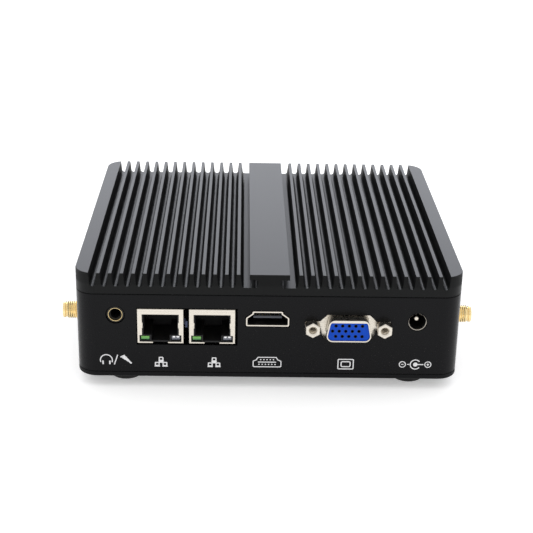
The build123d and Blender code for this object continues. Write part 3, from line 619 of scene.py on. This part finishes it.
# The black sleeves and their rings are painted shade in the holes.
HOLE_SHADE_TUBE = [(-0.02, 0.48), (-0.04, 0.6), (0.2, 0.6), (3.5, 0.6), (3.5, 0.48)]
hole_shade_sleeves = bmesh.new()
for row, shift in ((-1, 0), (0, -VIDEO_PITCH / 2), (1, 0)):
    for column in range(-2, 3):
        hole_x = video_middle.x + shift + VIDEO_PITCH * column
        hole = (hole_x, video_front, VIDEO_Z + VIDEO_ROW * row)
        lathe(hole_shade_sleeves, HOLE_SHADE_TUBE, hole, INWARD, closed=True, steps=16)
settle(hole_shade_sleeves, "video_hole_painted_shade_sleeves", "socket_plastic")

LIP_HALF = 6.1
lip = bmesh.new()
shell_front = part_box("video_shell")[0].y / MM
lip_x = (video_middle.x - LIP_HALF, video_middle.x + LIP_HALF)
lip_y = (shell_front + 0.02, shell_front + 0.6)
bar(lip, lip_x, lip_y, (VIDEO_Z + 3.1, VIDEO_Z + 3.8), 0.12)
settle(lip, "video_shell_lip", "nickel_shell")

# %% [markdown]
# The two jack screws beside it are threaded inside for the plug's thumb screws, so a fine thread is
# wound in each bore, and a turned plug closes the bore's end.
# %% Jack screw threads
JACK_GAP = 24.99
JACK_PITCH = 0.635
BORE_END = [(4.2, 0), (4.2, 1.25), (4.6, 1.25), (4.6, 0)]
jack_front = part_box("video_jack_screws")[0].y / MM
jack_threads = bmesh.new()
for way in (-1, 1):
    bore = (video_middle.x + way * JACK_GAP / 2, jack_front, VIDEO_Z)
    thread(jack_threads, bore, INWARD, 0.55, 4.3, root=1.23, crest=0.98, pitch=JACK_PITCH)
    lathe(jack_threads, BORE_END, bore, INWARD, steps=24)
settle(jack_threads, "video_jack_threads_cut", "nickel_shell")

# %% [markdown]
# The digital video socket holds a thin grey tongue. Nineteen gold strips lie on it in two rows,
# half a pitch apart, and each is a narrow bar a few hundredths of a millimetre proud.
# %% Digital video tongue
tongue_grey = grained(
    surface("grey_liquid_crystal_polymer", "#3E4148", 0.4, IOR=1.5), 0.5, 0.005, rough=(0.35, 0.5)
)
settle(
    softened("digital_video_tongue", 0.08),
    "digital_video_tongue_softened",
    "socket_plastic",
    replaces=["digital_video_tongue"],
    material=tongue_grey,
)
tongue_low, tongue_high = (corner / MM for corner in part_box("digital_video_tongue"))
tongue_x = (tongue_low.x + tongue_high.x) / 2
TONGUE_UNDER = 26.6
TONGUE_OVER = 27.6
STRIP_PITCH = 0.95
STRIP_HALF = 0.2
STRIP_PROUD = 0.04
strips = bmesh.new()
strip_y = (tongue_low.y + 0.8, tongue_low.y + 6)
for count, z in ((10, TONGUE_UNDER), (9, TONGUE_OVER)):
    for strip in range(count):
        x = tongue_x + (strip - (count - 1) / 2) * STRIP_PITCH
        strip_x = (x - STRIP_HALF, x + STRIP_HALF)
        bar(strips, strip_x, strip_y, (z - STRIP_PROUD, z + STRIP_PROUD))
settle(strips, "digital_video_contacts", "gold_plate")

# %% [markdown]
# A thin black liner covers the inside of the shell behind its bright rim. The black is painted
# shade: a dark sheet put where the inside of the shell lies in shade. Two outlines, one a little
# smaller than the other, are each drawn twice and bridged, and their ends are closed.
# %% Digital video painted shade liner
SHADE_LINER = [(4.75, 29.22), (4.75, 28.65), (6.95, 27.05), (6.95, 24.68)]
SHADE_LINER_BACK = 11.2
shade_liner_outline = SHADE_LINER + [(-across, z) for across, z in reversed(SHADE_LINER)]
shade_liner_middle = Vector((0, 26.95))
painted_shade_liner = bmesh.new()
for inset, start in ((1, 0.5), (0.985, 0.55)):
    loops = []
    for depth in (start, SHADE_LINER_BACK):
        ring = [shade_liner_middle + (Vector(point) - shade_liner_middle) * inset for point in shade_liner_outline]
        corners = [painted_shade_liner.verts.new(Vector((tongue_x + x, FRONT + depth, z)) * MM) for x, z in ring]
        loops += [painted_shade_liner.edges.new(pair) for pair in zip(corners, corners[1:] + corners[:1])]
    bmesh.ops.bridge_loops(painted_shade_liner, edges=loops)
front_part = (FRONT + 2) * MM
rims = [e for e in painted_shade_liner.edges if e.is_boundary and e.verts[0].co.y < front_part]
bmesh.ops.bridge_loops(painted_shade_liner, edges=rims)
ends = [edge for edge in painted_shade_liner.edges if edge.is_boundary]
bmesh.ops.bridge_loops(painted_shade_liner, edges=ends)
bmesh.ops.recalc_face_normals(painted_shade_liner, faces=painted_shade_liner.faces)
settle(painted_shade_liner, "digital_video_painted_shade_liner", "socket_plastic")

# %% [markdown]
# The audio jack shows a thin gilt ring round a black bush, and the DC inlet has a bright sleeve
# just inside its mouth. Both are plain rings, so both are turned.
# %% Audio jack and DC inlet rings
audio = centre_of("audio_jack_ring")
audio_face = (audio.x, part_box("audio_jack_ring")[0].y / MM, audio.z)
gilt_ring = bmesh.new()
RING = [(0.05, 2.3), (0, 2.34), (0, 2.46), (0.05, 2.5), (1, 2.5), (1, 2.3)]
lathe(gilt_ring, RING, audio_face, INWARD, closed=True)
settle(gilt_ring, "audio_gilt_ring", "gold_plate", replaces=["audio_jack_ring"])
BUSH = [(1.2, 1.85), (1.1, 2.24), (2, 2.24), (2, 1.85)]
SPRING_TIP_RADIUS = 0.4
bush = bmesh.new()
lathe(bush, BUSH, audio_face, INWARD, closed=True)
spring_tip = Matrix.Translation(Vector((audio.x, FRONT + 6, audio.z - 0.2)) * MM)
bmesh.ops.create_icosphere(bush, subdivisions=2, radius=SPRING_TIP_RADIUS * MM, matrix=spring_tip)
settle(bush, "audio_bush", "socket_plastic")

inlet = centre_of("dc_inlet_pin")
inlet_face = (inlet.x, FRONT, inlet.z)
SLEEVE = [(0.3, 3.0), (0.2, 3.12), (1.3, 3.12), (1.3, 3.0)]
sleeve = bmesh.new()
lathe(sleeve, SLEEVE, inlet_face, INWARD, closed=True)
settle(sleeve, "dc_inlet_sleeve", "nickel_shell")

# %% [markdown]
# Each antenna jack is a turned, gold plated barrel with a 1/4 inch thread of 36 turns an inch. The
# core is turned a little thin and the thread is wound on it, up to the CAD part's own radius. The
# flange behind the wall and the solder tail close it at the back.
# %% Antenna jacks
ANTENNA_PITCH = 25.4 / 36
CORE_RADIUS = 2.98
BARREL = [(-9, 0), (-9, 1.6), (-4, 1.6), (-4, 3.9), (-3.9, 4), (-2.1, 4), (-2, 3.9)]
BARREL += [(-2, CORE_RADIUS), (5.6, CORE_RADIUS), (5.8, 2.6), (6.1, 2.6), (6.3, 2.95), (7, 2.95)]
BARREL += [(7.2, 2.75), (7.2, 2.4), (7.1, 2.3), (1, 2.3), (1, 0)]
CONTACT = [(3.1, 0.24), (3.1, 0.48), (6.7, 0.48), (6.8, 0.4), (6.8, 0.24)]
for side, way in (("left", -1), ("right", 1)):
    node = "antenna_jack_" + side
    axis_place = centre_of(node)
    wall = (way * SIDE, axis_place.y, axis_place.z)
    barrel = bmesh.new()
    axis = (way, 0, 0)
    lathe(barrel, BARREL, wall, axis)
    thread(barrel, wall, axis, 0.1, 5.0, root=2.9, crest=3.17, pitch=ANTENNA_PITCH)
    lathe(barrel, CONTACT, wall, axis, closed=True, steps=24)
    settle(barrel, "antenna_barrel_" + side, "gold_plate", replaces=[node])

# %% [markdown]
# Each USB tongue carries four gold strips under it, and the floor of each mouth has two springs
# that grip the plug. They are pressed from the shell, so they are low rounded bars.
# %% USB details
MOUTH_DROPS = (3.9, 11.7)
CONTACT_PLACES = (-3.5, -1, 1, 3.5)
SPRING_PLACES = (-3, 3)
CONTACT_HALF = 0.5
SPRING_HALF = 0.9
usb_contacts = bmesh.new()
usb_springs = bmesh.new()
for side in ("left", "right"):
    low, high = (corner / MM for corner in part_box("usb_shell_" + side))
    middle_x = (low.x + high.x) / 2
    for drop in MOUTH_DROPS:
        level = high.z - drop
        contact_z = (level + 0.15, level + 0.25)
        for x in (middle_x + place for place in CONTACT_PLACES):
            contact_x = (x - CONTACT_HALF, x + CONTACT_HALF)
            bar(usb_contacts, contact_x, (BACK - 10, BACK - 2), contact_z)
        spring_z = (level - 2.75, level - 2.25)
        for x in (middle_x + place for place in SPRING_PLACES):
            spring_x = (x - SPRING_HALF, x + SPRING_HALF)
            bar(usb_springs, spring_x, (BACK - 7, BACK - 1.4), spring_z, 0.2)
settle(usb_contacts, "usb_contacts", "gold_plate")
settle(usb_springs, "usb_springs", "nickel_shell")

# %% [markdown]
# Under the plate, four steel clinch nuts are pressed in for a bracket. Each shows as a thin bright
# ring round its hole, with the M4 thread inside.
# %% Clinch nuts
NUT_SQUARE = 75
NUT_RING = [(-0.03, 2.15), (-0.03, 3.0), (0.3, 3.05), (0.3, 2.0), (0.12, 2.0)]
NUT_BODY = [(1.8, 2.0), (1.8, 3.4), (4, 3.4), (4, 2.0)]
plate_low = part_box("bottom_plate")[0].z / MM
plate_y = centre_of("bottom_plate").y
clinch_nuts = bmesh.new()
for x in (-NUT_SQUARE / 2, NUT_SQUARE / 2):
    for y in (-NUT_SQUARE / 2, NUT_SQUARE / 2):
        for outline in (NUT_RING, NUT_BODY):
            place = (x, plate_y + y, plate_low)
            lathe(clinch_nuts, outline, place, (0, 0, 1), closed=True, steps=40, outward=(1, 0, 0))
settle(clinch_nuts, "bracket_clinch_nuts", "steel_screw")

# %% [markdown]
# The pictograms are silk-screened in white ink. Each stroke is a round curve of the line's width,
# which is made a mesh and pressed nearly flat against the panel, so the ink has a real, very thin
# body with soft edges. All of them are plain signs, with no lettering.
# %% Ink
white_ink = grained(
    surface("white_screen_ink", "#D9D9DA", 0.55, IOR=1.45), 0.5, 0.002, ("#CFCFD0", "#E2E2E3")
)
INK_FLATTEN = 0.12
LINE = 0.42
BOLD = 0.5
FINE = 0.36
THIN = 0.32


def arc(x, z, radius, start, end, steps=16):
    """Points on an arc, from one angle to another in degrees."""
    angles = [radians(start + (end - start) * step / steps) for step in range(steps + 1)]
    return [(x + radius * cos(angle), z + radius * sin(angle)) for angle in angles]


def dot(x, z, radius):
    """A solid disc: a small closed circle drawn with a pen as wide as itself."""
    return (arc(x, z, radius / 2, 0, 337.5, 15), True, radius)


def frame_line(x, z, width, height, corner=0.3, pen=LINE):
    """A closed rectangle with rounded corners, from its middle."""
    right, top = x + width / 2 - corner, z + height / 2 - corner
    left, foot = x - width / 2 + corner, z - height / 2 + corner
    points = arc(right, top, corner, 0, 90, 4) + arc(left, top, corner, 90, 180, 4)
    points += arc(left, foot, corner, 180, 270, 4) + arc(right, foot, corner, 270, 360, 4)
    return (points, True, pen)


def ink(name, strokes, x, z, y=None, way=-1, body="case"):
    """Print strokes, as (points, closed, pen width) in millimetres round a middle, on a panel."""
    curve = bpy.data.curves.new(name, "CURVE")
    curve.dimensions = "3D"
    curve.bevel_depth = MM / 2
    curve.bevel_resolution = 1
    curve.use_fill_caps = True
    for points, closed, pen in strokes:
        spline = curve.splines.new("POLY")
        spline.points.add(len(points) - 1)
        spline.use_cyclic_u = closed
        for knot, (across, up) in zip(spline.points, points):
            knot.co = (-way * across * MM, 0, up * MM, 1)
            knot.radius = pen
    drawn = bpy.data.objects.new(name, curve)
    scene.collection.objects.link(drawn)
    depsgraph = bpy.context.evaluated_depsgraph_get()
    made = bpy.data.meshes.new_from_object(drawn.evaluated_get(depsgraph))
    bpy.data.objects.remove(drawn)
    place = Vector((x, FRONT if y is None else y, z)) * MM
    made.transform(Matrix.Translation(place) @ Matrix.Diagonal((1, INK_FLATTEN, 1, 1)))
    shape = bmesh.new()
    shape.from_mesh(made)
    bmesh.ops.recalc_face_normals(shape, faces=shape.faces)
    return settle(shape, name, "coated_case", body, material=white_ink)


# %% [markdown]
# Under the sockets, from left to right: headphones, a stroke and a microphone; a small network for
# each network socket; the outline of the digital video plug; a screen; and the plug's polarity.
# %% Connector panel pictograms
SIGN_HEIGHTS = {"audio": 10.65, "network": 9.95, "port": 10.25, "screen": 9.75, "polarity": 9.9}
NETWORK_SIGNS = {"left": -37.7, "right": -19.06}
headphones = [
    (arc(0, -0.25, 2.1, -22, 202, 22), False, LINE),
    ([(-1.2, -0.45), (-1.2, -1.85)], False, BOLD),
    ([(1.2, -0.45), (1.2, -1.85)], False, BOLD),
    ([(2.75, -1.95), (4.0, 1.85)], False, LINE),
    ([(5.0, 0.95), (6.45, 1.7)], False, 0.55),
    ([(5.9, 1.2), (6.9, 0.4)], False, 1.45),
    ([(6.6, 0.6), (7.7, -0.35)], False, 1.05),
    ([(7.5, -0.15), (8.8, -1.45)], False, 0.7),
]
ink("pictogram_audio", headphones, audio.x - 3.5, SIGN_HEIGHTS["audio"])

network = [([(-0.8, 0.05), (0.8, 0.05)], False, 0.4), ([(-1.3, -0.25), (1.3, -0.25)], False, 0.3)]
for x, z in ((0, 1.15), (-1.35, -0.85), (1.35, -0.85)):
    network.append(frame_line(x, z, 1.3, 1.15, 0.15, 0.45))
    network.append(([(x - 0.95, z - 0.85), (x + 0.95, z - 0.85)], False, LINE))
for side, x in NETWORK_SIGNS.items():
    ink("pictogram_network_" + side, network, x, SIGN_HEIGHTS["network"])

port = [(-3.2, 1.85), (3.2, 1.85), (3.8, 0.85), (4.9, 0.35), (4.9, -1.6), (4.6, -1.85)]
port += [(-4.6, -1.85), (-4.9, -1.6), (-4.9, 0.35), (-3.8, 0.85)]
PIN_GAP = 1.13
PIN_RADIUS = 0.26
plug = [(port, True, LINE), ([(-3.2, 0), (3.2, 0)], False, LINE)]
plug += [dot(PIN_GAP * (pin - 2), 0.95, PIN_RADIUS) for pin in range(5)]
plug += [dot(PIN_GAP * (pin - 2.5), -0.9, PIN_RADIUS) for pin in range(6)]
ink("pictogram_digital_video", plug, tongue_x + 0.1, SIGN_HEIGHTS["port"])

screen = [frame_line(0, 0, 5.4, 3.75), frame_line(0, 0, 3.2, 1.95, 0.5, 0.45)]
ink("pictogram_screen", screen, video_middle.x - 0.35, SIGN_HEIGHTS["screen"])

polarity = [
    (arc(-4.6, 0, 1.1, 0, 337.5, 15), True, FINE),
    ([(-5.0, 0), (-4.2, 0)], False, FINE),
    ([(-2.9, 0), (-2.1, 0)], False, FINE),
    (arc(0, 0, 1.8, 38, 322, 20), False, LINE),
    dot(0, 0, 0.85),
    ([(0.5, 0), (2.9, 0)], False, LINE),
    (arc(4.45, 0, 1.1, 0, 337.5, 15), True, FINE),
    ([(4.0, 0), (4.9, 0)], False, 0.34),
    ([(4.45, -0.45), (4.45, 0.45)], False, 0.34),
]
ink("pictogram_polarity", polarity, inlet.x + 0.22, SIGN_HEIGHTS["polarity"])

# %% [markdown]
# The button carries the power sign, which rides on the button so that it travels with it. The
# button's face is sunk by a few hundredths of a millimetre, which leaves room for the ink.
# %% Power button
power_sign = [(arc(0, 0, 1.9, 125, 415, 24), False, LINE), ([(0, 0.5), (0, 2.3)], False, LINE)]
button = centre_of("power_button")
FACE_DISH = 0.06
button_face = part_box("power_button")[1].y / MM - FACE_DISH
cap = softened("power_button", 0.25, 3)
for corner in cap.verts:
    if corner.co.y > button_face * MM:
        corner.co.y -= FACE_DISH * MM
settle(cap, "power_button_cap", slot_of["power_button"], "power_button", ["power_button"])
ink("pictogram_power", power_sign, button.x, button.z, button_face, 1, "power_button")

# %% [markdown]
# Under the two status lights are a drive and a small power sign, and under each USB stack is a
# plug. They are printed on the case, with the same pen and the same ink.
# %% Button panel pictograms
LIGHT_HALF = 1.5
LIGHT_SIGN_HEIGHT = 16.6
USB_SIGN_HEIGHT = 9.8
light_low, light_high = (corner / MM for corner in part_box("status_light_pipes"))
drive_sign = [(arc(0, 0.8, 1.0, 0, 345, 15), True, THIN), ([(-1, 0.8), (-1, -0.9)], False, THIN)]
drive_sign += [([(1, 0.8), (1, -0.9)], False, THIN), (arc(0, -0.9, 1.0, 180, 360, 10), False, THIN)]
small_power = [(arc(0, 0, 1.2, 125, 415, 18), False, THIN), ([(0, 0.3), (0, 1.5)], False, THIN)]
ink("pictogram_drive", drive_sign, light_low.x + LIGHT_HALF, LIGHT_SIGN_HEIGHT, BACK, 1)
ink("pictogram_light", small_power, light_high.x - LIGHT_HALF, LIGHT_SIGN_HEIGHT, BACK, 1)

usb_sign = [frame_line(0, 0.9, 2.6, 1.7, 0.2), frame_line(0, -0.9, 3.6, 1.9, 0.3)]
usb_sign += [dot(-0.6, 0.95, 0.22), dot(0.6, 0.95, 0.22)]
for side in ("left", "right"):
    stack_x = centre_of("usb_shell_" + side).x
    ink("pictogram_usb_" + side, usb_sign, stack_x, USB_SIGN_HEIGHT, BACK, 1)

# %% [markdown]
# The studio is a pale sheet, lit a little from below as in a light tent, under a bright sky. One
# wide lamp stands low behind the case. The tops of the fins mirror that lamp at a low angle, so
# they read grey while the upright panel stays black.
# %% Floor and light
SKY_LIGHT = 1.02
BACK_LAMP_WATTS = 31
BACK_LAMP_PLACE = Vector((0, 2.2, 1.1))
LAMP_AIM = Vector((0, 0, 0.04))
FLOOR_GLOW = 0.34
WHITE = linear("#FFFFFF")

floor_shape = bmesh.new()
bmesh.ops.create_grid(floor_shape, x_segments=1, y_segments=1, size=4)
floor_mesh = bpy.data.meshes.new("floor")
floor_shape.to_mesh(floor_mesh)
floor_shape.free()
glow = {"Emission_Color": WHITE, "Emission_Strength": FLOOR_GLOW}
lit_sheet = surface("lit_white_acrylic_sheet", "#F7F7F7", 0.9, IOR=1.2, **glow)
floor_mesh.materials.append(lit_sheet)
floor = bpy.data.objects.new("floor", floor_mesh)
scene.collection.objects.link(floor)

world = bpy.data.worlds.new("studio")
world.use_nodes = True
background = world.node_tree.nodes["Background"].inputs
background["Color"].default_value = WHITE
background["Strength"].default_value = SKY_LIGHT
scene.world = world

lamp_data = bpy.data.lights.new("back_lamp", "AREA")
lamp_data.shape = "RECTANGLE"
lamp_data.size = 3.0
lamp_data.size_y = 1.4
lamp_data.energy = BACK_LAMP_WATTS
lamp_data.color = linear("#EFF3FF")[:3]
back_lamp = bpy.data.objects.new("back_lamp", lamp_data)
back_lamp.location = BACK_LAMP_PLACE
back_lamp.rotation_euler = (LAMP_AIM - BACK_LAMP_PLACE).to_track_quat("-Z", "Y").to_euler()
scene.collection.objects.link(back_lamp)
print("sky", SKY_LIGHT, "and back lamp", BACK_LAMP_WATTS, "watts")
